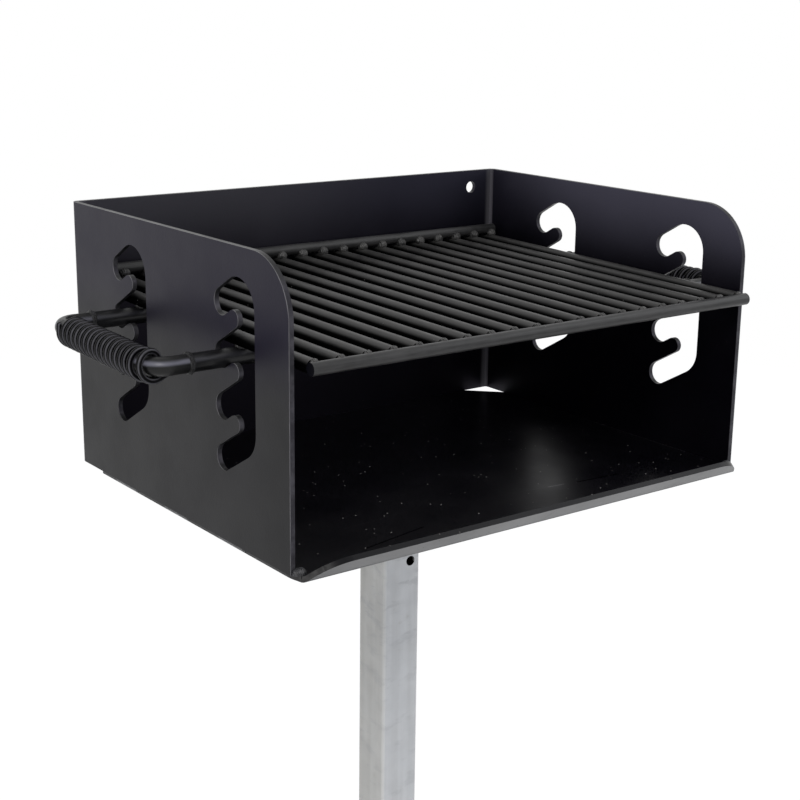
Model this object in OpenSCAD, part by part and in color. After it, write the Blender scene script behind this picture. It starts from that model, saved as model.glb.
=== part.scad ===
// Pedestal park grill: a bent steel firebox with four cooking levels, a welded
// rod grate with two spring-wrapped handles, and a galvanised square post.
// Millimetres. Origin at the centre of the base plate's underside, on the post's
// axis. +Z up, -Y is the open front, +X is to the right seen from the front.

/* [Firebox] */
// Clear width between the two side panels
inner_w = 508; // [420:1:620]
// Depth over the side panels, front edge to the back of the back panel
box_depth = 376; // [350:1:460]
// Height of the side and back panels
box_h = 254; // [245:1:330]
// Thickness of the firebox steel
plate_t = 4.76; // [3:0.01:6.35]
// Radius of the panels' front top corners
corner_r = 50.8; // [20:0.1:80]
// Inside radius of the two rear bends
wrap_bend_r = 3; // [2:0.5:12]
// Underside of the side panels above the ground
box_z = 640; // [450:1:700]

/* [Level slots] */
// Front edge of the front slot, behind the panels' front edge
slot_setback = 49.4; // [30:0.1:60]
// Width of the upright part of a slot
trunk_w = 25.4; // [23:0.1:28]
// Width of the sloping arms
arm_w = 23; // [19:0.1:24]
// Slope of the arms below the horizontal
arm_slope = 30; // [25:1:35]
// Height from one cooking level to the next
level_pitch = 44; // [42:0.5:48]
// Horizontal reach from the slot's front edge to a seat's centre
seat_reach = 51.1; // [48:0.1:56]
// Height of the panels' top edge above the top seat's centre
seat_drop = 49; // [46:0.5:51]
// Distance from the front slot to the rear slot
slot_spacing = 181; // [150:0.5:200]

/* [Floor] */
// Distance of the floor's side edges inside the panels' outer faces
floor_inset = 3.6; // [2.5:0.1:4]
// Reach of the floor in front of the panels before it bends up
lip_reach = 5.8; // [3:0.1:12]
// Slope of the bent-up ash lip above the horizontal
lip_angle = 45; // [30:1:60]
// Length of the flat part of the ash lip
lip_len = 19.4; // [12:0.1:24]
// Radius of the lip's two corners in the flat sheet
lip_corner_r = 40; // [36:0.5:50]
// Leg of the cut-off rear corners, which leave drain openings
rear_cut = 38.1; // [25:0.1:50]

/* [Grate] */
// Number of cooking rods
rod_count = 20; // [12:1:20]
// Gap between the outermost rods and the side panels
rod_side_gap = 6.35; // [4:0.05:20]
// Diameter of a cooking rod
rod_d = 12.7; // [9:0.1:13]
// Diameter of the front and rear cross bars
cross_bar_d = 11.1; // [9:0.1:12.7]
// Diameter of the support bars and of the handle bars
support_d = 15.875; // [12:0.005:16.5]
// How much closer the support bars are than the slots, which tilts the grate
support_shortfall = 5.5; // [0:0.1:8]
// Front cross bar's centre in front of the panels' front edge
front_bar_reach = 12.6; // [9:0.1:20]

/* [Handles] */
// Reach of a support bar past the outside of a side panel
support_reach = 31.2; // [20:0.1:40]
// Centre line of the grip past the outside of a side panel
grip_reach = 63.3; // [55:0.1:90]
// Diameter of the grip's spring wire
grip_wire_d = 5.3; // [4:0.1:5.6]
// Pitch of the grip's turns
grip_pitch = 8.1; // [7:0.1:9]
// Number of evenly spaced turns in a grip
grip_turns = 15; // [10:1:16]

/* [Post and base] */
// Side of the square post
post_w = 44.45; // [38:0.05:60]
// Wall of the post
post_wall = 3.05; // [2:0.01:5]
// Distance of the post's axis behind the middle of the firebox
post_setback = 28; // [0:1:40]
// Side of the top plate
top_plate_w = 130; // [120:1:160]
// Thickness of the top plate
top_plate_t = 6.35; // [4:0.01:10]
// Side of the base plate
base_w = 254; // [200:1:320]
// Thickness of the base plate
base_t = 9.525; // [6:0.005:16]
// Distance of the anchor holes' centres inside the base plate's edges
anchor_inset = 25.4; // [20:0.1:50]
// Diameter of the anchor holes
anchor_d = 14.3; // [10:0.1:18]

/* [Hidden] */
$fn = 64;
// How far every cut runs past the face that it cuts
over = 1;
// How far straight stock runs into a bend, and how much thicker the bend is on each
// side, so that the two fuse
bend_lap = 0.3;
bend_swell = 0.1;

// Firebox, worked out
outer_w = inner_w + 2 * plate_t;
box_yc = -post_setback;
box_front = box_yc - box_depth / 2;
box_back = box_yc + box_depth / 2;
wrap_outer_r = wrap_bend_r + plate_t;
hole_d = 12.7;
hole_inset_x = 30.3;
hole_drop = 18.4;
hole_span = inner_w - 2 * hole_inset_x;

// Slots, worked out
top_seat_z = box_h - seat_drop;
slot_front_y = box_front + slot_setback;
seat_y = slot_front_y + seat_reach;
slot_ys = [0, slot_spacing];
level_count = 4;
finger_w = level_pitch * cos(arm_slope) - arm_w;
finger_y = slot_front_y + trunk_w + finger_w / 2;
trunk_r = trunk_w;
seat_to_corner = seat_y - (slot_front_y + trunk_r);
bottom_seat_z = top_seat_z - (level_count - 1) * level_pitch;
corner_fall = seat_to_corner * tan(arm_slope);
corner_shift = (trunk_r - arm_w / 2) / cos(arm_slope);
trunk_bottom_z = bottom_seat_z + corner_fall + corner_shift;
trunk_top_z = top_seat_z + corner_fall - corner_shift;
arm_len = (seat_y - (slot_front_y + trunk_w / 2)) / cos(arm_slope);
top_arm_len = seat_to_corner * cos(arm_slope) + (trunk_top_z - top_seat_z) * sin(arm_slope);
bottom_arm_len = seat_to_corner * cos(arm_slope) + (trunk_bottom_z - bottom_seat_z) * sin(arm_slope);
arm_lens = [top_arm_len, arm_len, arm_len, bottom_arm_len];
along_arm = [cos(arm_slope), -sin(arm_slope)];
across_arm = [sin(arm_slope), cos(arm_slope)];

// Floor, worked out
floor_w = outer_w - 2 * floor_inset;
lip_inner_r = plate_t;
lip_outer_r = lip_inner_r + plate_t;
lip_start_y = box_front - lip_reach;
lip_bend_len = lip_angle * PI / 180 * (lip_inner_r + plate_t / 2);
lip_edge_s = lip_reach + lip_bend_len + lip_len;
lip_corner_x = floor_w / 2 - lip_corner_r;

// Grate, worked out
seat_clearance = 0.3;
rest_level = 2;
rest_seat_z = box_z + top_seat_z - (rest_level - 1) * level_pitch;
bar_z = rest_seat_z - arm_w / 2 + seat_clearance + support_d / 2;
rear_bar_rise = support_shortfall * tan(arm_slope);
bar_spacing = norm([slot_spacing - support_shortfall, rear_bar_rise]);
grate_tilt = asin(rear_bar_rise / bar_spacing);
rod_z = bar_z + support_d / 2 + rod_d / 2;
cross_bar_len = inner_w - 2 * rod_side_gap;
rod_x0 = -(cross_bar_len - rod_d) / 2;
rod_pitch = -2 * rod_x0 / (rod_count - 1);
front_bar_y = box_front - front_bar_reach;
rod_end_gap = 0.2;
rod_front_y = front_bar_y + cross_bar_d / 2 + rod_end_gap;
rod_back_gap = 5.2;
rod_back_y = box_back - plate_t - rod_back_gap;
rear_bar_y = rod_back_y - cross_bar_d / 2;
rear_bar_z = rod_z + rod_d / 2 + cross_bar_d / 2;
support_half = outer_w / 2 + support_reach;
weld_gap = 0.1;
front_bead_r = 3.4;
rear_bead_r = 5.2;
cross_bead_r = 4.9;

// Handles, worked out
grip_x = outer_w / 2 + grip_reach;
handle_bend_r = support_d;
handle_front_y = seat_y + handle_bend_r;
handle_back_y = seat_y + bar_spacing - handle_bend_r;
weld_ring_r = 2.6;
weld_ring_sink = 0.9;

// Grip spring: a coil round the grip bar. Its last turns stand further apart and
// lean only partly with the front bend. Distances along the bar are counted from
// the coil's rear end.
bar_clearance = 0.3;
rings_per_turn = 8;
wire_sides = 6;
coil_r = (support_d / 2 + bar_clearance + grip_wire_d / 2) / cos(180 / rings_per_turn);
coil_back_gap = 11.5;
coil_back_y = handle_back_y - coil_back_gap;
open_pitch = 1.21 * grip_pitch;
open_turns = 2.375;
open_room = 0.5;
lean_share = 0.4;
coil_turns = grip_turns + open_turns;
coil_straight = coil_back_y - handle_front_y;
coil_start_angle = 170;
coil_rings = coil_turns * rings_per_turn;

// Post and base, worked out
post_corner_r = 4;
post_top_z = box_z - plate_t - top_plate_t;
vent_d = 10.3;
vent_x = 10;
vent_drop = 97;
vent_z = post_top_z - vent_drop;
post_weld_leg = 5;
plate_corner_r = 12.7;
anchor_spacing = base_w - 2 * anchor_inset;
stud_d = 10;
stud_inset = 17;
stud_spacing = top_plate_w - 2 * stud_inset;
stud_hole_d = 11;
nut_flats = 16;
nut_h = 8.4;
nut_bore_gap = 0.1;
washer_d = 20;
washer_t = 2;
stud_tip = 4;
stud_len = top_plate_t + washer_t + nut_h + stud_tip;

// Firebox weld beads, worked out
seam_bead_r = floor_inset;
seam_bead_len = 38;
seam_bead_count = 3;
seam_bead_step = box_depth / (seam_bead_count + 1);
tack_r = 5.5;
tack_len = plate_t / 2;
tack_x = outer_w / 2 - tack_r - tack_len;

rod_names = [for (i = [1:rod_count]) str("cooking_rod_", i < 10 ? "0" : "", i)];

paint = [0.13, 0.13, 0.14];
bare_rod = [0.2, 0.2, 0.2];
zinc = [0.68, 0.69, 0.68];

// A rod along X, centred on the origin
module bar_x(len, d) {
    rotate([0, 90, 0])
        cylinder(h = len, d = d, center = true);
}

// A rod along -Y from a start point at the origin
module bar_y(len, d) {
    rotate([90, 0, 0])
        cylinder(h = len, d = d);
}

// A square outline with rounded corners, centred
module rounded_square(w, r) {
    square([w, w - 2 * r], center = true);
    square([w - 2 * r, w], center = true);
    for (sx = [-1, 1], sy = [-1, 1])
        translate([sx * (w / 2 - r), sy * (w / 2 - r)])
            circle(r);
}

// Outline of the side-back-side sheet seen from above
module wrap_outline(w, back, r) {
    front_len = back - r - box_front;
    translate([-w / 2, box_front])
        square([w, front_len]);
    translate([-(w / 2 - r), box_front])
        square([w - 2 * r, back - box_front]);
    for (s = [-1, 1])
        translate([s * (w / 2 - r), back - r])
            circle(r);
}

// Sector of a trunk corner's disc, from the front wall's side to the tangent of the
// outermost arm; up is 1 for the top corner and -1 for the bottom one
module trunk_corner(z, up) {
    translate([slot_front_y + trunk_r, z])
        intersection() {
            circle(trunk_r);
            polygon([[0, -up * over], over * along_arm, over * along_arm + up * 2 * trunk_r * across_arm,
                [-2 * trunk_r, up * 2 * trunk_r], [-2 * trunk_r, -up * over]]);
        }
}

// One level slot in the plane of a side panel: horizontal depth, then height
module slot_outline() {
    difference() {
        union() {
            translate([slot_front_y, trunk_bottom_z])
                square([trunk_w, trunk_top_z - trunk_bottom_z]);
            trunk_corner(trunk_top_z, 1);
            trunk_corner(trunk_bottom_z, -1);
            for (i = [0:level_count - 1])
                translate([seat_y, top_seat_z - i * level_pitch]) {
                    circle(d = arm_w);
                    rotate(180 - arm_slope)
                        translate([0, -arm_w / 2])
                            square([arm_lens[i], arm_w]);
                }
            for (i = [0:level_count - 2])
                finger_place(i)
                    rotate(180 - arm_slope)
                        translate([0, -finger_w / 2 - over])
                            square([finger_w, finger_w + 2 * over]);
        }
        for (i = [0:level_count - 2])
            finger_place(i)
                circle(d = finger_w);
    }
}

// Centre of the round tip of the steel finger under seat i
module finger_place(i) {
    mid_z = top_seat_z - (i + 0.5) * level_pitch;
    translate([finger_y, mid_z + (seat_y - finger_y) * tan(arm_slope)])
        children();
}

// Cuts the square front top corner of both side panels to an arc
module front_corner_cut() {
    translate([-outer_w / 2 - over, box_front - over, box_z + box_h - corner_r])
        difference() {
            cube([outer_w + 2 * over, corner_r + over, corner_r + over]);
            translate([outer_w / 2 + over, corner_r + over, 0])
                bar_x(outer_w + 4 * over, 2 * corner_r);
        }
}

module firebox_wrap() {
    color(paint)
        difference() {
            translate([0, 0, box_z])
                linear_extrude(box_h)
                    difference() {
                        wrap_outline(outer_w, box_back, wrap_outer_r);
                        wrap_outline(inner_w, box_back - plate_t, wrap_bend_r);
                    }
            front_corner_cut();
            for (sx = [-1, 1], dy = slot_ys)
                translate([sx * (inner_w + plate_t) / 2, dy, box_z])
                    rotate([90, 0, 90])
                        linear_extrude(plate_t + 2 * over, center = true)
                            slot_outline();
            for (sx = [-1, 1])
                translate([sx * hole_span / 2, box_back + over, box_z + box_h - hole_drop])
                    bar_y(plate_t + 2 * over, hole_d);
        }
}

// Floor and lip profile: depth, then height, with the floor's top face at height zero
module floor_profile() {
    translate([lip_start_y - bend_lap, -plate_t])
        square([box_back - lip_start_y + bend_lap, plate_t]);
    translate([lip_start_y, lip_inner_r]) {
        intersection() {
            difference() {
                circle(lip_outer_r + bend_swell);
                circle(lip_inner_r - bend_swell);
            }
            polygon([[0, 0], [0, -2 * lip_outer_r],
                [-2 * lip_outer_r * sin(lip_angle), -2 * lip_outer_r * cos(lip_angle)]]);
        }
        rotate(-lip_angle)
            translate([-lip_len, -lip_outer_r])
                square([lip_len + bend_lap, plate_t]);
    }
}

// Everything inside the round corners of the flat sheet, as an upright block
module corner_keep(h) {
    linear_extrude(h, center = true) {
        translate([-floor_w / 2, 0])
            square([floor_w, box_depth + over]);
        translate([-lip_corner_x, -lip_corner_r])
            square([2 * lip_corner_x, lip_corner_r + over]);
        for (s = [-1, 1])
            translate([s * lip_corner_x, 0])
                circle(lip_corner_r);
    }
}

module floor_plate() {
    keep_y = lip_corner_r - lip_edge_s;
    color(paint)
        translate([0, 0, box_z])
            difference() {
                intersection() {
                    rotate([90, 0, 90])
                        linear_extrude(floor_w, center = true)
                            floor_profile();
                    union() {
                        translate([0, box_front + keep_y, 0])
                            intersection() {
                                corner_keep(3 * plate_t);
                                translate([-outer_w, -keep_y - lip_reach, -2 * plate_t])
                                    cube([2 * outer_w, 2 * box_depth, 4 * plate_t]);
                            }
                        translate([0, lip_start_y, lip_inner_r])
                            rotate([-lip_angle, 0, 0])
                                translate([0, lip_corner_r - lip_len, -lip_inner_r])
                                    intersection() {
                                        corner_keep(6 * plate_t);
                                        translate([-outer_w, -lip_corner_r, -4 * plate_t])
                                            cube([2 * outer_w, lip_len + 2 * plate_t, 8 * plate_t]);
                                    }
                    }
                }
                for (s = [-1, 1])
                    translate([s * floor_w / 2, box_back, -plate_t / 2])
                        rotate(45)
                            cube([rear_cut * sqrt(2), rear_cut * sqrt(2), plate_t + 2 * over], center = true);
            }
}

// Half outline of a weld bead with round ends: radius, then length along its axis
module bead_half(len, r) {
    intersection() {
        union() {
            square([2 * r, len], center = true);
            for (e = [-1, 1])
                translate([0, e * len / 2])
                    circle(r);
        }
        translate([0, -len / 2 - r])
            square([r, len + 2 * r]);
    }
}

// Stitch welds under the panels' edges along the floor, and a tack at each front corner
module firebox_welds() {
    color(paint)
        for (s = [-1, 1]) {
            for (i = [1:seam_bead_count])
                translate([s * floor_w / 2, box_front + i * seam_bead_step, box_z])
                    rotate([90, s > 0 ? 90 : 180, 0])
                        rotate_extrude(angle = 90)
                            bead_half(seam_bead_len, seam_bead_r);
            translate([s * tack_x, box_front, box_z])
                rotate([90, 0, 90])
                    rotate([0, 0, 90])
                        rotate_extrude(angle = 90)
                            bead_half(tack_len, tack_r);
        }
}

module post() {
    color(zinc)
        difference() {
            translate([0, 0, base_t])
                linear_extrude(post_top_z - base_t)
                    difference() {
                        rounded_square(post_w, post_corner_r);
                        rounded_square(post_w - 2 * post_wall, post_corner_r - post_wall);
                    }
            translate([vent_x, -post_w / 2 + post_wall + over, vent_z])
                bar_y(post_wall + 2 * over, vent_d);
        }
}

module post_top_plate() {
    color(zinc)
        translate([0, 0, post_top_z])
            linear_extrude(top_plate_t)
                difference() {
                    rounded_square(top_plate_w, plate_corner_r);
                    for (sx = [-1, 1], sy = [-1, 1])
                        translate([sx * stud_spacing / 2, sy * stud_spacing / 2])
                            circle(d = stud_hole_d);
                }
}

module base_plate() {
    color(zinc)
        linear_extrude(base_t)
            difference() {
                rounded_square(base_w, plate_corner_r);
                for (sx = [-1, 1], sy = [-1, 1])
                    translate([sx * anchor_spacing / 2, sy * anchor_spacing / 2])
                        circle(d = anchor_d);
            }
}

// Fillet welds on the four flats of the post, at both of its plates
module post_welds() {
    flat = post_w - 2 * post_corner_r;
    color(zinc)
        for (end = [0, 1], a = [0:90:270])
            translate([0, 0, end == 0 ? base_t : post_top_z])
                mirror([0, 0, end])
                    rotate(a)
                        translate([post_w / 2, flat / 2, 0])
                            rotate([90, 0, 0])
                                linear_extrude(flat)
                                    polygon([[0, 0], [post_weld_leg, 0], [0, post_weld_leg]]);
}

module at_studs() {
    for (sx = [-1, 1], sy = [-1, 1])
        translate([sx * stud_spacing / 2, sy * stud_spacing / 2, 0])
            children();
}

module mounting_studs() {
    color(zinc)
        at_studs()
            translate([0, 0, box_z - plate_t - stud_len])
                cylinder(h = stud_len, d = stud_d);
}

module mounting_washers() {
    color(zinc)
        at_studs()
            translate([0, 0, post_top_z - washer_t])
                difference() {
                    cylinder(h = washer_t, d = washer_d);
                    translate([0, 0, -over])
                        cylinder(h = washer_t + 2 * over, d = stud_hole_d);
                }
}

module mounting_nuts() {
    color(zinc)
        at_studs()
            translate([0, 0, post_top_z - washer_t - nut_h])
                difference() {
                    cylinder(h = nut_h, d = nut_flats / cos(30), $fn = 6);
                    translate([0, 0, -over])
                        cylinder(h = nut_h + 2 * over, d = stud_d + 2 * nut_bore_gap);
                }
}

// The grate's parts as drawn level, tilted about the front support bar's axis
module tilted() {
    translate([0, seat_y, bar_z])
        rotate([grate_tilt, 0, 0])
            translate([0, -seat_y, -bar_z])
                children();
}

module front_cross_bar() {
    translate([0, front_bar_y, rod_z])
        bar_x(cross_bar_len, cross_bar_d);
}

module rear_cross_bar() {
    translate([0, rear_bar_y, rear_bar_z])
        bar_x(cross_bar_len, cross_bar_d);
}

module support_bar(dy) {
    translate([0, seat_y + dy, bar_z])
        bar_x(2 * support_half, support_d);
}

module cooking_rod(i) {
    translate([rod_x0 + (i - 1) * rod_pitch, rod_back_y, rod_z])
        bar_y(rod_back_y - rod_front_y, rod_d);
}

// Copies on the axis of every rod, at a given depth
module at_rods(y) {
    for (i = [1:rod_count])
        translate([rod_x0 + (i - 1) * rod_pitch, y, rod_z])
            children();
}

// A round weld bead, less room for a rod along Y from rod_y on and for a bar along X
// that lies bar_dy and bar_dz from the rod's axis
module rod_bead(r, dy, dz, rod_y, bar_dy, bar_dz, bar_d) {
    difference() {
        translate([0, dy, dz])
            sphere(r);
        translate([0, rod_y - weld_gap, 0])
            rotate([-90, 0, 0])
                cylinder(h = 4 * r, d = rod_d + 2 * weld_gap);
        translate([0, bar_dy, bar_dz])
            bar_x(4 * r, bar_d + 2 * weld_gap);
    }
}

module front_rod_welds() {
    color(bare_rod)
        at_rods(rod_front_y)
            rod_bead(front_bead_r, -cross_bar_d / 6, rod_d / 2 - 0.75 * front_bead_r, 0,
                front_bar_y - rod_front_y, 0, cross_bar_d);
}

module rear_rod_welds() {
    color(bare_rod)
        at_rods(rear_bar_y)
            rod_bead(rear_bead_r, -cross_bar_d / 2, rod_d / 2 + rear_bead_r / 4, -2 * rear_bead_r,
                0, rear_bar_z - rod_z, cross_bar_d);
}

module support_welds(dy) {
    color(bare_rod)
        at_rods(seat_y + dy)
            rod_bead(cross_bead_r, 0, -rod_d / 2, -2 * cross_bead_r, 0, bar_z - rod_z, support_d);
}

// The left handle bar: two legs, two bends and the grip between them
module handle_bar() {
    leg = grip_x - handle_bend_r - support_half;
    translate([0, 0, bar_z]) {
        for (y = [seat_y, seat_y + bar_spacing])
            translate([-support_half, y, 0])
                rotate(-90)
                    bar_y(leg + bend_lap, support_d);
        translate([-grip_x, handle_back_y + bend_lap, 0])
            bar_y(handle_back_y - handle_front_y + 2 * bend_lap, support_d);
        for (bend = [[handle_front_y, 180], [handle_back_y, 90]])
            translate([-grip_x + handle_bend_r, bend[0], 0])
                rotate(bend[1])
                    rotate_extrude(angle = 90)
                        translate([handle_bend_r, 0])
                            circle(d = support_d + 2 * bend_swell);
    }
}

// A ring of weld round each butt joint between support bar and handle bar
module handle_welds() {
    color(bare_rod)
        for (y = [seat_y, seat_y + bar_spacing])
            translate([-support_half, y, bar_z])
                rotate([0, 90, 0])
                    difference() {
                        rotate_extrude()
                            translate([support_d / 2 - weld_ring_sink, 0])
                                circle(weld_ring_r);
                        cylinder(h = 4 * weld_ring_r, d = support_d + 2 * weld_gap, center = true);
                    }
}

// Distance along the bar after t turns of the grip spring
function coil_s(t) = t < grip_turns
    ? t * grip_pitch
    : grip_turns * grip_pitch + (t - grip_turns) * open_pitch;

// Angle turned in the front bend at distance s, nothing on the straight
function bend_at(s) = max(0, s - coil_straight) / handle_bend_r * 180 / PI;

// The bar's centre line at distance s
function bar_at(s) = s < coil_straight
    ? [-grip_x, coil_back_y - s, bar_z]
    : [-grip_x + handle_bend_r * (1 - cos(bend_at(s))),
       handle_front_y - handle_bend_r * sin(bend_at(s)), bar_z];

// Radial direction of the wire after t turns, widened where a turn stands askew
// to the bent bar
function coil_out(t) =
    let (a = coil_start_angle + t * 360, b = bend_at(coil_s(t)), lean = lean_share * b,
        wide = 1 / cos(b - lean))
    [wide * cos(a) * cos(lean), wide * cos(a) * sin(lean), sin(a)];

function coil_at(t) = bar_at(coil_s(t))
    + (coil_r + open_room * max(0, min(1, t - grip_turns))) * coil_out(t);

// The wire's centre points, with a straight end one diameter long at both ends
coil_mid = [for (k = [0:coil_rings]) coil_at(k / rings_per_turn)];
coil_last = len(coil_mid) - 1;
coil_head = coil_mid[0] - grip_wire_d * unit(coil_mid[1] - coil_mid[0]);
coil_tail = coil_mid[coil_last] + grip_wire_d * unit(coil_mid[coil_last] - coil_mid[coil_last - 1]);
coil_path = concat([coil_head], coil_mid, [coil_tail]);

function unit(v) = v / norm(v);

function path_dir(p, k) = unit(p[min(k + 1, len(p) - 1)] - p[max(k - 1, 0)]);

// A closed tube of n-sided rings round the points p; out(k) holds each ring's side direction
module tube(p, outs, r, n) {
    rings = [for (k = [0:len(p) - 1])
        let (t = path_dir(p, k), u = unit(outs[k] - (outs[k] * t) * t), v = cross(t, u))
        for (j = [0:n - 1]) p[k] + r * (cos(j * 360 / n) * u + sin(j * 360 / n) * v)];
    last = (len(p) - 1) * n;
    sides = [for (k = [0:len(p) - 2], j = [0:n - 1])
        let (a = k * n + j, b = k * n + (j + 1) % n)
        each [[a, a + n, b], [b, a + n, b + n]]];
    caps = [for (j = [1:n - 2]) each [[0, j, j + 1], [last, last + j + 1, last + j]]];
    polyhedron(rings, concat(sides, caps));
}

coil_outs = concat([coil_out(0)], [for (k = [0:coil_rings]) coil_out(k / rings_per_turn)],
    [coil_out(coil_rings / rings_per_turn)]);

// Least gap between the wire and itself, at least half a turn further on
near = ceil(rings_per_turn / 2);
coil_gap = min([for (i = [0:coil_last], j = [i + near:1:coil_last]) norm(coil_mid[i] - coil_mid[j])])
    - grip_wire_d;
echo(grip_spring_least_gap_mm = coil_gap);

module grip_spring() {
    color(paint)
        tube(coil_path, coil_outs, grip_wire_d / 2, wire_sides);
}

firebox_wrap();
floor_plate();
firebox_welds();
post();
post_top_plate();
base_plate();
post_welds();
mounting_studs();
mounting_washers();
mounting_nuts();
tilted() color(bare_rod) front_cross_bar();  // grate_front_bar
tilted() color(bare_rod) rear_cross_bar();  // grate_rear_bar
tilted() color(bare_rod) support_bar(0);  // front_support_bar
tilted() color(bare_rod) support_bar(bar_spacing);  // rear_support_bar
tilted() front_rod_welds();
tilted() rear_rod_welds();
tilted() support_welds(0);  // front_support_welds
tilted() support_welds(bar_spacing);  // rear_support_welds
tilted() color(bare_rod) handle_bar();  // left_handle_bar
tilted() color(bare_rod) mirror([1, 0, 0]) handle_bar();  // right_handle_bar
tilted() handle_welds();  // left_handle_welds
tilted() mirror([1, 0, 0]) handle_welds();  // right_handle_welds
tilted() grip_spring();  // left_grip_spring
tilted() mirror([1, 0, 0]) grip_spring();  // right_grip_spring
for (i = [1:rod_count])
    tilted() color(bare_rod) cooking_rod(i);
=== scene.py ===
"""The looks of the park grill: materials, wound grips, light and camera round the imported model."""

import math

import bpy
from mathutils import Matrix, Vector


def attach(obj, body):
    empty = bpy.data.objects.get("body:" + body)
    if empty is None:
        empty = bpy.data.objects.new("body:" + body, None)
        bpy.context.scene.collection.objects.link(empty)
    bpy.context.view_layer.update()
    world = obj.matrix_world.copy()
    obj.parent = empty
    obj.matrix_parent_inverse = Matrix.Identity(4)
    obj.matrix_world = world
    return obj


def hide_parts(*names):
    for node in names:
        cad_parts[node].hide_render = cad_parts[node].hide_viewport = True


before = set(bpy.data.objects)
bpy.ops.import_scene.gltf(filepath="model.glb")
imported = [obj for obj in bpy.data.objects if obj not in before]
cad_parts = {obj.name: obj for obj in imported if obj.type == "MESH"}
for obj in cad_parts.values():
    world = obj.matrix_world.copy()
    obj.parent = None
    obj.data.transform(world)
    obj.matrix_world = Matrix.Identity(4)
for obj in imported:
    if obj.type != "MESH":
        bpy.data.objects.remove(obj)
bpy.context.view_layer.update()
scene = bpy.context.scene

MM = 0.001

# ---------------------------------------------------------------- node helpers

# The colour sockets of a Mix node
MIX_A = 6
MIX_B = 7
MIX_RESULT = 2


def empty_tree(owner):
    """The node tree of a material or a world, without its ready-made nodes."""
    owner.use_nodes = True
    owner.node_tree.nodes.clear()
    return owner.node_tree


def rgb(r, g, b):
    return (r, g, b, 1.0)


class Net:
    """A material's node tree, with short names for the nodes that it uses."""

    def __init__(self, name):
        self.mat = bpy.data.materials.new(name)
        self.tree = empty_tree(self.mat)
        out = self.add("ShaderNodeOutputMaterial")
        self.bsdf = self.add("ShaderNodeBsdfPrincipled")
        self.tree.links.new(self.bsdf.outputs[0], out.inputs["Surface"])
        self.co = self.add("ShaderNodeTexCoord").outputs["Object"]
        self.normal = self.add("ShaderNodeNewGeometry").outputs["Normal"]

    def add(self, kind, **props):
        node = self.tree.nodes.new(kind)
        for key, value in props.items():
            setattr(node, key, value)
        return node

    def put(self, socket, value):
        if isinstance(value, bpy.types.NodeSocket):
            self.tree.links.new(value, socket)
        else:
            socket.default_value = value

    def surface(self, values):
        """Feeds the named sockets of the surface."""
        for name, value in values.items():
            self.put(self.bsdf.inputs[name], value)

    def math(self, op, a, b=0.0, clamp=False):
        node = self.add("ShaderNodeMath", operation=op, use_clamp=clamp)
        self.put(node.inputs[0], a)
        self.put(node.inputs[1], b)
        return node.outputs[0]

    def times(self, product, *factors):
        for factor in factors:
            product = self.math("MULTIPLY", product, factor)
        return product

    def plus(self, a, b):
        return self.math("ADD", a, b)

    def size(self, value):
        return self.math("ABSOLUTE", value)

    def above(self, value, limit):
        return self.math("GREATER_THAN", value, limit)

    def below(self, value, limit):
        return self.math("LESS_THAN", value, limit)

    def vec(self, op, a, b=(0, 0, 0), scale=None):
        node = self.add("ShaderNodeVectorMath", operation=op)
        self.put(node.inputs[0], a)
        if op != "SCALE":
            self.put(node.inputs[1], b)
        if scale is not None:
            self.put(node.inputs["Scale"], scale)
        return node.outputs["Value" if op in ("DOT_PRODUCT", "DISTANCE") else "Vector"]

    def stretch(self, factors):
        return self.vec("MULTIPLY", self.co, factors)

    def noise(self, scale, detail=3.0, rough=0.5, at=None):
        node = self.add("ShaderNodeTexNoise")
        self.put(node.inputs["Vector"], self.co if at is None else at)
        self.put(node.inputs["Scale"], scale)
        self.put(node.inputs["Detail"], detail)
        self.put(node.inputs["Roughness"], rough)
        return node.outputs[0]

    def cells(self, scale, flat=False):
        """Cells round scattered points: the distance to the point, and a number that each cell has."""
        node = self.add("ShaderNodeTexVoronoi", voronoi_dimensions="2D" if flat else "3D")
        self.put(node.inputs["Vector"], self.co)
        self.put(node.inputs["Scale"], scale)
        return node.outputs["Distance"], self.split(node.outputs["Color"])[0]

    def span(self, value, low, high, to_low=0.0, to_high=1.0):
        node = self.add("ShaderNodeMapRange", interpolation_type="SMOOTHSTEP")
        self.put(node.inputs["Value"], value)
        self.put(node.inputs["From Min"], low)
        self.put(node.inputs["From Max"], high)
        self.put(node.inputs["To Min"], to_low)
        self.put(node.inputs["To Max"], to_high)
        return node.outputs["Result"]

    def mix(self, a, b, share):
        node = self.add("ShaderNodeMix", data_type="RGBA")
        self.put(node.inputs["Factor"], share)
        self.put(node.inputs[MIX_A], a)
        self.put(node.inputs[MIX_B], b)
        return node.outputs[MIX_RESULT]

    def split(self, vector):
        node = self.add("ShaderNodeSeparateXYZ")
        self.put(node.inputs[0], vector)
        return node.outputs

    def bump(self, height, distance, under=None):
        node = self.add("ShaderNodeBump")
        self.put(node.inputs["Distance"], distance)
        self.put(node.inputs["Height"], height)
        if under is not None:
            self.put(node.inputs["Normal"], under)
        return node.outputs["Normal"]

    def specks(self, scale, share, size, flat=False):
        """Small dots: a mask that is 1 inside a dot. share of the cells hold one."""
        distance, number = self.cells(scale, flat)
        dot = self.span(distance, size, size * 0.6)
        return self.times(dot, self.below(number, share))

    def stroke(self, start, end, width):
        """A mask of a straight mark between two points, fraying along its length."""
        a, b = Vector(start), Vector(end)
        along = b - a
        from_a = self.vec("SUBTRACT", self.co, tuple(a))
        ahead = self.vec("DOT_PRODUCT", from_a, tuple(along))
        part = self.math("DIVIDE", ahead, along.length_squared, clamp=True)
        foot = self.vec("SCALE", tuple(along), scale=part)
        gap = self.vec("DISTANCE", from_a, foot)
        frayed = self.plus(gap, self.times(self.noise(700, 2), width * 0.9))
        return self.span(frayed, width, width * 0.45)


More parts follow.
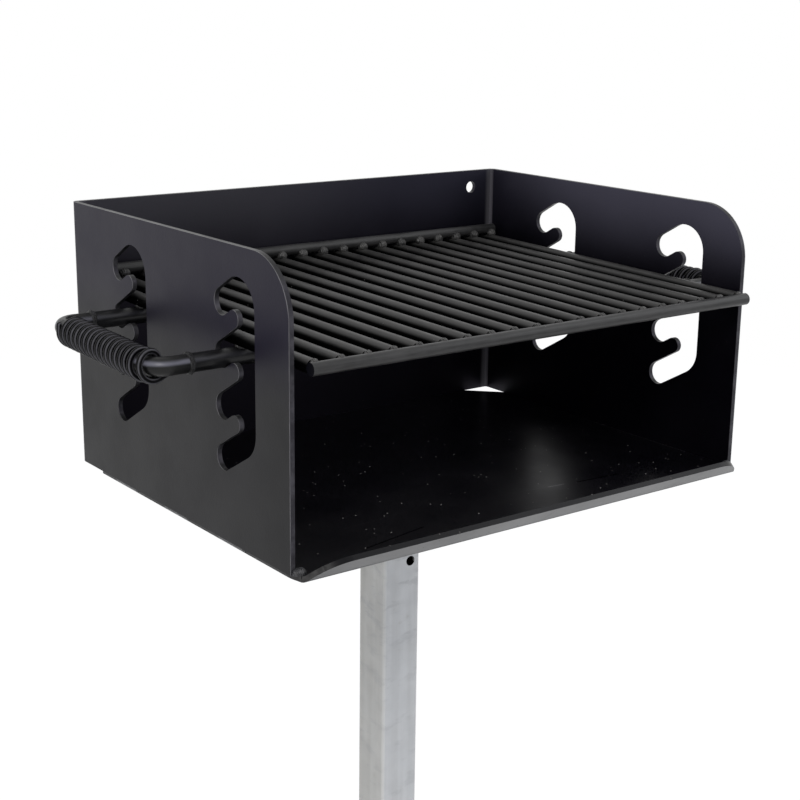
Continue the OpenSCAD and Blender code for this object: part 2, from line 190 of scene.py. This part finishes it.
def use(net, *nodes):
    """Gives CAD nodes a material."""
    for name in nodes:
        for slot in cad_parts[name].material_slots:
            slot.material = net.mat


# -------------------------------------------------------- the firebox's enamel

# Places on the firebox, in metres
PANEL_X = 0.2538                   # farther out, a point is on a side panel
ARRIS_HIGHLIGHT_X = (0.25790, 0.25835)  # where a painted highlight on a panel's cut edge grows towards its outer corner
REAR_HIGHLIGHT_X = (0.2440, 0.2495)   # where a painted highlight on the inside of the back sets in towards the bends
REAR_BEND_Y = 0.15                 # the side panels end here, in front of the bends
LIP_Y = -0.2                       # the lip stands in front of it
PAINTED_LIGHT_Z = (0.825, 0.915)           # where the painted pale light on the upper inside sets in
SKY_REFLECTION_Z = (0.79, 0.87)              # where the painted bluish reflection of the sky on the outside sets in

# Pale lines on the firebox floor, scratches but for the last, a painted highlight along the seam with the
# right panel: both ends in metres, width, tone, strength
SCRATCHES_AND_SEAM_HIGHLIGHT = (
    ((0.0613, -0.1661, 0.64), (0.0798, -0.1680, 0.64), 0.0012, 0.190, 1.0),
    ((-0.0178, -0.1570, 0.64), (0.0791, -0.1675, 0.64), 0.0006, 0.050, 0.7),
    ((-0.1659, -0.1510, 0.64), (-0.0970, -0.1454, 0.64), 0.0006, 0.040, 0.6),
    # a painted highlight along the floor's seam with the right panel
    ((0.2517, -0.0279, 0.64), (0.2530, -0.1600, 0.64), 0.0009, 0.060, 0.7),
)
# Black smudges on the floor: both ends in metres
SMUDGES = (
    ((0.0942, -0.1706, 0.64), (0.1432, -0.1746, 0.64)),
    ((-0.1723, -0.1999, 0.64), (-0.1025, -0.1860, 0.64)),
)
SMUDGE_WIDTH = 0.0034
# A dark chip across the lip: both ends in metres, width
LIP_CHIP = ((-0.0035, -0.2290, 0.6385), (0.0045, -0.2415, 0.6510), 0.0010)


def enamel(name, coarse_share, fine_dust):
    """Cloudy black heat-proof enamel under dust: its net, its colour, and its clouds, dust, and the patches
    of rubbing and painted sheen on its edges.
    """
    n = Net(name)
    cloud = n.noise(7, 4)
    black = n.span(cloud, 0.35, 0.68)
    colour = n.mix(rgb(0.0009, 0.0007, 0.0018), rgb(0.0024, 0.0021, 0.0036), black)
    dust = n.math("MAXIMUM", n.specks(95, coarse_share, 0.06), n.specks(*fine_dust))
    colour = n.mix(colour, rgb(0.16, 0.15, 0.14), n.times(dust, 0.55))
    rub_and_sheen = n.span(n.noise(60, 4, 0.6), 0.3, 0.62, 0.25, 1.0)
    return n, colour, cloud, dust, rub_and_sheen


def enamel_roughness(n, dust, smoothest, roughest):
    """Patchy, and duller where dust lies."""
    rough = n.span(n.noise(16, 5, 0.6), 0.3, 0.7, smoothest, roughest)
    return n.plus(rough, n.times(dust, 0.3))


def floor_enamel():
    """The floor with its lip: ash, scratches, smudges and a painted seam highlight on top, and painted
    light on the faces under the lip.
    """
    n, colour, cloud, dust, rub_and_sheen = enamel("floor_enamel", 0.05, (150, 0.05, 0.11, True))
    y = n.split(n.co)[1]
    nx, ny, nz = n.split(n.normal)
    # painted light: the faces that look down under the lip are painted pale, standing in for the light that
    # reaches them from below
    under_lip = n.times(n.span(nz, -0.35, -0.60), n.below(y, LIP_Y))
    pale = n.times(under_lip, n.span(cloud, 0.3, 0.7, 0.8, 1.0))
    colour = n.mix(colour, rgb(0.115, 0.115, 0.118), pale)
    # the cut sides are painted lighter: partly thin paint, partly a painted highlight for the light that
    # they catch
    cut_side = n.above(n.size(nx), 0.6)
    colour = n.mix(colour, rgb(0.055, 0.054, 0.053), n.times(cut_side, rub_and_sheen))
    upward = n.above(nz, 0.9)
    ash = n.times(dust, upward, n.span(n.noise(31, 2), 0.38, 0.62, 0.10, 0.55))
    colour = n.mix(colour, rgb(0.80, 0.78, 0.75), ash)
    # pale lines: scratches, and a painted highlight along the right seam
    for start, end, width, tone, strength in SCRATCHES_AND_SEAM_HIGHLIGHT:
        mark = n.times(n.stroke(start, end, width), upward)
        colour = n.mix(colour, rgb(tone, tone, tone * 1.04), n.times(mark, strength))
    smudge = 0.0
    for start, end in SMUDGES:
        mark = n.times(n.stroke(start, end, SMUDGE_WIDTH), upward)
        smudge = n.math("MAXIMUM", smudge, mark)
        colour = n.mix(colour, rgb(0.0, 0.0, 0.0), n.times(mark, 0.9))
    colour = n.mix(colour, rgb(0.012, 0.012, 0.014), n.times(n.stroke(*LIP_CHIP), 0.85))
    # the lip's cut edge and the smudges shine less than the rest
    lip_edge = n.times(n.below(ny, -0.5), n.above(nz, 0.2))
    gloss = n.math("SUBTRACT", 1.32, n.times(lip_edge, 0.07))
    gloss = n.math("SUBTRACT", gloss, n.times(smudge, 0.26))
    n.surface({
        "Base Color": colour,
        "Roughness": enamel_roughness(n, dust, 0.285, 0.36),
        "Normal": n.bump(n.times(n.noise(55, 3), 1.5), 0.00002),
        "IOR": gloss,
    })
    return n


def wrap_enamel():
    """The three panels: faint orange peel, with painted light: bluish high up outside, pale on the upper
    inside and the rear bends, and with thin paint on the cut edges.
    """
    n, colour, cloud, dust, rub_and_sheen = enamel("firebox_enamel", 0.012, (260, 0.01, 0.09))
    x, y, z = n.split(n.co)
    nx, ny, nz = n.split(n.normal)
    off_middle = n.size(x)
    facing = n.math("MULTIPLY", n.times(x, nx), -4.0, clamp=True)
    forward = n.math("MULTIPLY", ny, -1.0, clamp=True)
    inward = n.math("MAXIMUM", n.span(facing, 0.5, 0.9), n.span(forward, 0.6, 0.9))
    # the upper outside of the side panels: a painted bluish reflection of the sky
    painted_sky_reflection = n.span(n.plus(z, n.times(cloud, 0.05)), *SKY_REFLECTION_Z)
    outward = n.span(n.times(x, nx), 0.15, 0.22)
    colour = n.mix(colour, rgb(0.0055, 0.0036, 0.0150), n.times(painted_sky_reflection, outward))
    # the upper inside: painted light, a pale reflection of the sky that darkens on the back from left to
    # right and on the side panels towards the rear
    high = n.span(n.plus(z, n.times(cloud, 0.03)), *PAINTED_LIGHT_Z)
    tint = n.mix(rgb(0.038, 0.038, 0.043), rgb(0.019, 0.019, 0.029), n.span(x, -0.12, 0.17))
    painted_side_light = n.mix(rgb(0.016, 0.015, 0.024), rgb(0.086, 0.083, 0.112), n.span(y, 0.17, 0.0))
    tint = n.mix(tint, painted_side_light, n.span(facing, 0.5, 0.9))
    colour = n.mix(colour, tint, n.times(inward, high, 0.85))
    # painted highlights: a pale line along the rear bends, with a band beside it on the back
    bend = n.times(n.span(n.size(nx), 0.02, 0.14), n.span(forward, 0.02, 0.14))
    colour = n.mix(colour, rgb(0.075, 0.071, 0.082), n.times(bend, 0.9))
    beside = n.times(n.span(off_middle, *REAR_HIGHLIGHT_X), n.span(forward, 0.5, 0.9))
    colour = n.mix(colour, rgb(0.085, 0.083, 0.092), n.times(beside, 0.8))
    # the cut edges, painted lighter: partly thin paint, partly painted light that the edges catch, with a
    # painted highlight along the outer arris
    cut = n.times(n.above(off_middle, PANEL_X), n.below(n.size(nx), 0.35))
    edge = n.math("MAXIMUM", n.above(nz, 0.8), n.times(cut, n.below(y, REAR_BEND_Y)))
    colour = n.mix(colour, rgb(0.018, 0.018, 0.019), n.times(edge, rub_and_sheen))
    painted_arris_highlight = n.times(edge, n.span(off_middle, *ARRIS_HIGHLIGHT_X))
    colour = n.mix(colour, rgb(0.17, 0.168, 0.172), n.times(painted_arris_highlight, rub_and_sheen))
    orange_peel = n.plus(n.noise(520, 2), n.times(n.noise(55, 3), 1.5))
    n.surface({
        "Base Color": colour,
        "Roughness": enamel_roughness(n, dust, 0.36, 0.44),
        "Normal": n.bump(orange_peel, 0.00006),
        "Specular Tint": n.mix(rgb(1.0, 1.0, 1.0), rgb(0.80, 0.73, 1.0), inward),
        "IOR": 1.285,
    })
    return n


use(wrap_enamel(), "firebox_wrap")
use(floor_enamel(), "floor_plate")

# -------------------------------------------------------------- bars and welds

# Factors that draw the marks out along a bar that runs this way
ALONG_X = (0.06, 1, 1)
ALONG_Y = (1, 0.06, 1)
ROUND_BEND = (0.2, 0.2, 1)
# Where a bar's painted highlight grows to its full strength on the way out of the firebox, in metres
PAINTED_HIGHLIGHT_X = (0.265, 0.300)


def bar_steel(name, low, high, rough, grain, painted_highlight_tone=0.0, painted_shade_flanks=False, painted_shade_ends=False):
    """Round bar under a thin black coat: drawing marks along it and dots of weld splatter.

    painted_highlight_tone is the tone of a patchy painted highlight along the upper flanks.
    """
    n = Net(name)
    marks = n.stretch(grain)
    lines = n.noise(620, 3, 0.6, at=marks)
    cloud = n.noise(34, 4, 0.6)
    tone = n.plus(n.times(lines, 0.5), n.times(cloud, 0.6))
    colour = n.mix(rgb(*low), rgb(*high), n.span(tone, 0.35, 0.75))
    gloss = 1.34
    nx, _, nz = n.split(n.normal)
    # painted shade: below its top, a bar's flanks are painted near black and shine less
    if painted_shade_flanks:
        colour = n.mix(rgb(0.0012, 0.0012, 0.0012), colour, n.span(nz, 0.35, 0.85))
        gloss = n.span(nz, 0.05, 0.80, 1.02, 1.28)
    # painted shade: the end faces are painted near black and shine less
    if painted_shade_ends:
        end = n.above(n.size(nx), 0.9)
        colour = n.mix(colour, rgb(0.004, 0.004, 0.006), end)
        gloss = n.math("SUBTRACT", gloss, n.times(end, 0.26))
    # painted highlight: a patchy pale band along the upper flanks
    if painted_highlight_tone:
        band = n.times(n.span(nz, 0.10, 0.42), n.span(nz, 0.82, 0.46))
        patchy = n.span(n.noise(48, 4, 0.6, at=marks), 0.30, 0.62, 0.35, 1.0)
        outside = n.span(n.size(n.split(n.co)[0]), *PAINTED_HIGHLIGHT_X, 0.3, 1.0)
        painted_highlight = n.times(band, n.times(patchy, outside))
        colour = n.mix(colour, rgb(painted_highlight_tone, painted_highlight_tone, painted_highlight_tone * 1.22), painted_highlight)
    dots = n.specks(210, 0.04, 0.16)
    colour = n.mix(colour, rgb(0.13, 0.125, 0.12), n.times(dots, 0.6))
    n.surface({
        "Base Color": colour,
        "Roughness": n.span(cloud, 0.3, 0.7, rough - 0.06, rough + 0.08),
        "Normal": n.bump(dots, 0.0003, under=n.bump(lines, 0.00005)),
        "IOR": gloss,
    })
    return n


def bead(name, low, high, rough, metal, ior=1.45, glint_share=0.0):
    """Weld metal: overlapping ripples in cloudy tones. glint_share is the share of cells with a painted
    glint, a pale grain.
    """
    n = Net(name)
    ripple = n.add("ShaderNodeTexWave", wave_type="BANDS", bands_direction="X")
    n.put(ripple.inputs["Vector"], n.co)
    n.put(ripple.inputs["Scale"], 210.0)
    n.put(ripple.inputs["Distortion"], 5.0)
    n.put(ripple.inputs["Detail"], 2.0)
    cloud = n.noise(180, 4, 0.65)
    colour = n.mix(rgb(*low), rgb(*high), n.span(cloud, 0.35, 0.68))
    if glint_share:
        # painted glints: pale grains on the weld
        colour = n.mix(colour, rgb(0.42, 0.42, 0.44), n.specks(330, glint_share, 0.3))
    relief = n.bump(ripple.outputs["Fac"], 0.0005)
    n.surface({
        "Base Color": colour,
        "Metallic": metal,
        "IOR": ior,
        "Roughness": n.span(cloud, 0.3, 0.7, rough - 0.1, rough + 0.1),
        "Normal": n.bump(n.noise(650, 3), 0.0004, under=relief),
    })
    return n


rods = [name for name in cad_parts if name.startswith("cooking_rod_")]
use(bar_steel("rod_steel", (0.026, 0.0255, 0.0250), (0.052, 0.0508, 0.0490), 0.38, ALONG_Y,
              painted_shade_flanks=True),
    *rods)
use(bar_steel("cross_bar_steel", (0.016, 0.016, 0.0162), (0.040, 0.0396, 0.0400), 0.37, ALONG_X,
              painted_shade_ends=True),
    "grate_front_bar", "grate_rear_bar")
use(bar_steel("support_bar_steel", (0.003, 0.003, 0.0035), (0.008, 0.008, 0.009), 0.34, ALONG_X,
              painted_highlight_tone=0.05),
    "front_support_bar", "rear_support_bar")
use(bar_steel("handle_steel", (0.003, 0.003, 0.0035), (0.008, 0.008, 0.008), 0.34, ROUND_BEND,
              painted_highlight_tone=0.18),
    "left_handle_bar", "right_handle_bar")
use(bead("painted_bead", (0.02, 0.02, 0.022), (0.07, 0.07, 0.075), 0.36, 0.0),
    "firebox_welds")
use(bead("rod_bead", (0.020, 0.020, 0.020), (0.085, 0.083, 0.081), 0.38, 0.15),
    "front_rod_welds", "rear_rod_welds", "front_support_welds", "rear_support_welds")
use(bead("handle_bead", (0.003, 0.003, 0.003), (0.035, 0.035, 0.037), 0.38, 0.0, ior=1.26, glint_share=0.12),
    "left_handle_welds", "right_handle_welds")
use(bead("zinc_bead", (0.36, 0.36, 0.35), (0.52, 0.52, 0.52), 0.5, 0.4),
    "post_welds")

# ------------------------------------------------------------------------ zinc

# A point of the post is in the tube or the vent hole when it is nearer to the axis than the outer faces
# and away from the rounded corners, in metres
OUTER_FACE = 0.0219
CORNER = 0.0150


def zinc(name, streaks=True, post=False):
    """Hot-dip zinc: soft crystals, runs down the length, dull whitish bloom.

    post adds what only the post shows: painted light that tints the faces by their direction, painted
    highlights on the corners, scuffs and painted shade inside the tube.
    """
    n = Net(name)
    runs = n.noise(95, 4, 0.6, at=n.stretch((1, 1, 0.035 if streaks else 1)))
    wide_runs = n.noise(38, 3, 0.5, at=n.stretch((1, 1, 0.05 if streaks else 1)))
    grain = n.cells(85)[1]
    tone = n.plus(n.times(runs, 0.55), n.times(wide_runs, 0.45))
    tone = n.plus(n.times(tone, 0.65), n.times(n.noise(30, 4, 0.6), 0.35))
    colour = n.mix(rgb(0.43, 0.43, 0.415), rgb(0.64, 0.65, 0.65), n.span(tone, 0.34, 0.66))
    colour = n.mix(colour, rgb(0.66, 0.67, 0.68), n.times(grain, 0.22))
    if post:
        x, y, z = n.split(n.co)
        nx, ny, _ = n.split(n.normal)
        # painted light: the face towards -x warm, the face towards -y bluish
        colour = n.mix(colour, rgb(0.50, 0.49, 0.46), n.times(n.span(nx, -0.5, -0.9), 0.45))
        colour = n.mix(colour, rgb(0.54, 0.56, 0.60), n.times(n.span(ny, -0.5, -0.9), 0.45))
        # painted highlight along the rounded corners
        corner = n.times(n.span(n.size(nx), 0.2, 0.5), n.span(n.size(ny), 0.2, 0.5))
        pale = n.times(corner, n.span(wide_runs, 0.3, 0.6, 0.2, 0.7))
        colour = n.mix(colour, rgb(0.66, 0.66, 0.65), pale)
        scuff = n.span(n.noise(34, 5, 0.65, at=n.stretch((1, 1, 2.6))), 0.52, 0.66)
        scuff = n.times(scuff, n.span(z, 0.40, 0.62, 0.4, 1.0))
        colour = n.mix(colour, rgb(0.30, 0.31, 0.33), n.times(scuff, 0.5))
    blot = n.span(n.noise(26, 4, 0.6), 0.60, 0.72)
    colour = n.mix(colour, rgb(0.33, 0.32, 0.29), n.times(blot, 0.35))
    if post:
        # painted shade: the inside of the tube and the walls of the vent hole are painted near black
        far = n.math("MAXIMUM", n.size(x), n.size(y))
        near = n.math("MINIMUM", n.size(x), n.size(y))
        inside = n.times(n.below(far, OUTER_FACE), n.below(near, CORNER))
        colour = n.mix(colour, rgb(0.004, 0.004, 0.004), inside)
    relief = n.bump(runs, 0.0002)
    n.surface({
        "Base Color": colour,
        "Metallic": 0.35,
        "Roughness": n.span(n.plus(grain, tone), 0.5, 1.4, 0.42, 0.60),
        "Normal": n.bump(n.noise(300, 3), 0.00008, under=relief),
    })
    return n


use(zinc("post_zinc", post=True), "post")
use(zinc("plate_zinc", streaks=False), "post_top_plate", "base_plate")
use(zinc("hardware_zinc", streaks=False), "mounting_studs", "mounting_washers", "mounting_nuts")

# ------------------------------------------------------------- the wound grips

# Sizes in millimetres, and START in degrees. They are those of the part's source, but for COIL_R: the
# part's coil has eight corners in a turn, and COIL_R lies between its corners and its flats.
WIRE_D = 5.3
COIL_R = 11.5
OPEN_ROOM = 0.5
LEAN_SHARE = 0.4
GRIP_X = 322.06
BEND_R = 15.875
BAR_SPACING = 175.529
COIL_BACK_GAP = 11.5
SEAT_Y = -115.5
BAR_Z = 797.7375
TILT = math.radians(1.0365)
FRONT_Y = SEAT_Y + BEND_R
BACK_Y = SEAT_Y + BAR_SPACING - BEND_R - COIL_BACK_GAP
PITCH = 8.1
OPEN_PITCH = 1.21 * PITCH
TURNS = 15
OPEN_TURNS = 2.375
START = 170

# The wire's mesh: points in a turn, sides of the wire, and the rings that round off its ends, each with
# its distance past the end in wire diameters and its thickness as a share of the wire's
STEPS = 36
SIDES = 14
END_RINGS = ((0.18, 0.86), (0.32, 0.6), (0.40, 0.2))


def coil_point(turn):
    """The middle of the left grip's wire, this many turns from its rear end."""
    s = min(turn, TURNS) * PITCH + max(0.0, turn - TURNS) * OPEN_PITCH
    straight = BACK_Y - FRONT_Y
    bend = max(0.0, s - straight) / BEND_R
    if s < straight:
        middle = Vector((-GRIP_X, BACK_Y - s, BAR_Z))
    else:
        middle = Vector((-GRIP_X + BEND_R * (1 - math.cos(bend)), FRONT_Y - BEND_R * math.sin(bend), BAR_Z))
    a = math.radians(START + turn * 360)
    lean = LEAN_SHARE * bend
    wide = 1 / math.cos(bend - lean)
    out = Vector((wide * math.cos(a) * math.cos(lean), wide * math.cos(a) * math.sin(lean), math.sin(a)))
    return middle + (COIL_R + OPEN_ROOM * max(0.0, min(1.0, turn - TURNS))) * out


def grip(name, side):
    """One unbroken wire wound round the handle bar, with rounded ends."""
    count = int((TURNS + OPEN_TURNS) * STEPS)
    points = [coil_point(k / STEPS) for k in range(count + 1)]
    first = (points[1] - points[0]).normalized()
    last = (points[-1] - points[-2]).normalized()
    points = [points[0] - WIRE_D * first] + points + [points[-1] + WIRE_D * last]
    head = [points[0] - first * WIRE_D * past for past, _ in END_RINGS]
    tail = [points[-1] + last * WIRE_D * past for past, _ in END_RINGS]
    taper = [share for _, share in END_RINGS]
    radii = taper[::-1] + [1.0] * len(points) + taper
    points = head[::-1] + points + tail
    # the whole grate leans about its front support bar
    pivot = Vector((0, SEAT_Y, BAR_Z))
    lean = Matrix.Rotation(TILT, 3, "X")
    points = [lean @ (p - pivot) + pivot for p in points]
    if side > 0:
        points = [Vector((-p.x, p.y, p.z)) for p in points]
    verts, faces = [], []
    up = Vector((0, 0, 1))
    for k, p in enumerate(points):
        ahead = points[min(k + 1, len(points) - 1)] - points[max(k - 1, 0)]
        ahead.normalize()
        up = (up - ahead * up.dot(ahead)).normalized()
        beside = ahead.cross(up)
        for j in range(SIDES):
            angle = 2 * math.pi * j / SIDES
            spoke = math.cos(angle) * up + math.sin(angle) * beside
            verts.append(tuple((p + radii[k] * WIRE_D / 2 * spoke) * MM))
    for k in range(len(points) - 1):
        for j in range(SIDES):
            a, b = k * SIDES + j, k * SIDES + (j + 1) % SIDES
            faces.append((a, b, b + SIDES, a + SIDES))
    faces.append(tuple(range(SIDES))[::-1])
    faces.append(tuple(range(len(verts) - SIDES, len(verts))))
    mesh = bpy.data.meshes.new(name)
    mesh.from_pydata(verts, [], faces)
    mesh.update()
    for polygon in mesh.polygons:
        polygon.use_smooth = True
    obj = bpy.data.objects.new(name, mesh)
    scene.collection.objects.link(obj)
    return obj


def spring_wire():
    """Oiled black spring wire, with a painted grey highlight on the flanks that face the front, black
    between the turns.
    """
    n = Net("spring_wire")
    cloud = n.noise(55, 4, 0.6)
    fine = n.noise(480, 3, 0.6)
    black = n.span(cloud, 0.35, 0.7)
    colour = n.mix(rgb(0.0015, 0.0015, 0.002), rgb(0.004, 0.004, 0.0045), black)
    ny = n.split(n.normal)[1]
    # painted highlight on the flanks that face the front
    painted_highlight = n.times(n.span(ny, -0.95, -0.83), n.span(ny, -0.46, -0.70))
    patchy = n.span(n.plus(n.times(fine, 0.35), n.times(cloud, 0.65)), 0.3, 0.6, 0.45, 1.0)
    colour = n.mix(colour, rgb(0.088, 0.087, 0.096), n.times(painted_highlight, patchy))
    n.surface({
        "Base Color": colour,
        "Roughness": n.span(cloud, 0.3, 0.7, 0.28, 0.36),
        "Normal": n.bump(fine, 0.00005),
        "IOR": 1.15,
    })
    return n


wire = spring_wire()
for side, word in ((-1, "left"), (1, "right")):
    coil = grip(word + "_grip", side)
    coil.data.materials.append(wire.mat)
    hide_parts(word + "_grip_spring")
    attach(coil, "grate")

# --------------------------------------------------------- ground and lighting

# The ground, in metres: a disc just under the base plate
GROUND_RADIUS = 3.2
GROUND_SIDES = 64
GROUND_DROP = 0.0005
# The rays that show the ground or the sky see them brighter than the light that they cast
GROUND_GLOW = 1.24
GLOW_SHARE = 0.7
SKY_STRENGTH = 0.55
# Where the lamps point, in metres
FIREBOX = Vector((0, 0, 0.75))


def shader(tree, kind, colour, strength=None):
    """The output of a shader of one colour, and of a strength where it has one."""
    node = tree.nodes.new(kind)
    node.inputs["Color"].default_value = colour
    if strength is not None:
        node.inputs["Strength"].default_value = strength
    return node.outputs[0]


def seen(tree):
    """1 for camera, glossy and transmission rays."""
    path = tree.nodes.new("ShaderNodeLightPath")
    total = path.outputs["Is Camera Ray"]
    for name in ("Is Glossy Ray", "Is Transmission Ray"):
        node = tree.nodes.new("ShaderNodeMath")
        node.operation = "MAXIMUM"
        tree.links.new(total, node.inputs[0])
        tree.links.new(path.outputs[name], node.inputs[1])
        total = node.outputs[0]
    return total


def blend(tree, share, usual, shown, output):
    """Sends the usual shader to the output, and the given share of the shown one in its place."""
    mixer = tree.nodes.new("ShaderNodeMixShader")
    for source, socket in zip((share, usual, shown), mixer.inputs):
        tree.links.new(source, socket)
    tree.links.new(mixer.outputs[0], tree.nodes.new(output).inputs["Surface"])


ground = bpy.data.meshes.new("ground")
angles = [2 * math.pi * k / GROUND_SIDES for k in range(GROUND_SIDES)]
rim = [(GROUND_RADIUS * math.cos(a), GROUND_RADIUS * math.sin(a), 0.0) for a in angles]
ground.from_pydata(rim, [], [tuple(range(GROUND_SIDES))])
ground_obj = bpy.data.objects.new("ground", ground)
ground_obj.location.z = -GROUND_DROP
scene.collection.objects.link(ground_obj)
ground_mat = bpy.data.materials.new("pale_ground")
tree = empty_tree(ground_mat)
glow = tree.nodes.new("ShaderNodeMath")
glow.operation = "MULTIPLY"
glow.inputs[1].default_value = GLOW_SHARE
tree.links.new(seen(tree), glow.inputs[0])
blend(tree, glow.outputs[0],
      shader(tree, "ShaderNodeBsdfDiffuse", rgb(0.82, 0.82, 0.81)),
      shader(tree, "ShaderNodeEmission", rgb(1.0, 1.0, 1.0), GROUND_GLOW),
      "ShaderNodeOutputMaterial")
ground.materials.append(ground_mat)

world = bpy.data.worlds.new("studio")
scene.world = world
tree = empty_tree(world)
blend(tree, seen(tree),
      shader(tree, "ShaderNodeBackground", rgb(0.92, 0.94, 1.0), SKY_STRENGTH),
      shader(tree, "ShaderNodeBackground", rgb(1.0, 1.0, 1.0), 1.0),
      "ShaderNodeOutputWorld")


def lamp(name, place, size, watts, colour):
    """A square lamp that points at the firebox."""
    data = bpy.data.lights.new(name, "AREA")
    data.size = size
    data.energy = watts
    data.color = colour
    obj = bpy.data.objects.new(name, data)
    obj.location = place
    obj.rotation_euler = (FIREBOX - Vector(place)).to_track_quat("-Z", "Y").to_euler()
    scene.collection.objects.link(obj)


lamp("key", (-1.6, -1.8, 2.6), 0.9, 34, (1.0, 0.98, 0.96))
lamp("fill", (2.0, -1.2, 2.0), 1.8, 14, (0.95, 0.97, 1.0))

# ---------------------------------------------------------------------- camera

# Solved from the firebox's straight edges in the photograph
PLACE = Vector((-0.8763, -1.1766, 1.0947))
AZIMUTH = math.radians(37.02)
DOWN = math.radians(15.17)
ROLL = math.radians(0.73)
FOCAL_LENGTH = 69.06
SENSOR_WIDTH = 36.0

look = Vector((math.sin(AZIMUTH) * math.cos(DOWN), math.cos(AZIMUTH) * math.cos(DOWN), -math.sin(DOWN)))
level = Vector((math.cos(AZIMUTH), -math.sin(AZIMUTH), 0))
above = level.cross(look)
right = math.cos(ROLL) * level + math.sin(ROLL) * above
up = -math.sin(ROLL) * level + math.cos(ROLL) * above
lens = bpy.data.cameras.new("camera")
lens.sensor_width = SENSOR_WIDTH
lens.lens = FOCAL_LENGTH
lens.clip_start = 0.05
lens.clip_end = 50.0
camera = bpy.data.objects.new("camera", lens)
camera.matrix_world = Matrix((
    (right.x, up.x, -look.x, PLACE.x),
    (right.y, up.y, -look.y, PLACE.y),
    (right.z, up.z, -look.z, PLACE.z),
    (0, 0, 0, 1),
))
scene.collection.objects.link(camera)
scene.camera = camera

scene.view_settings.view_transform = "Standard"
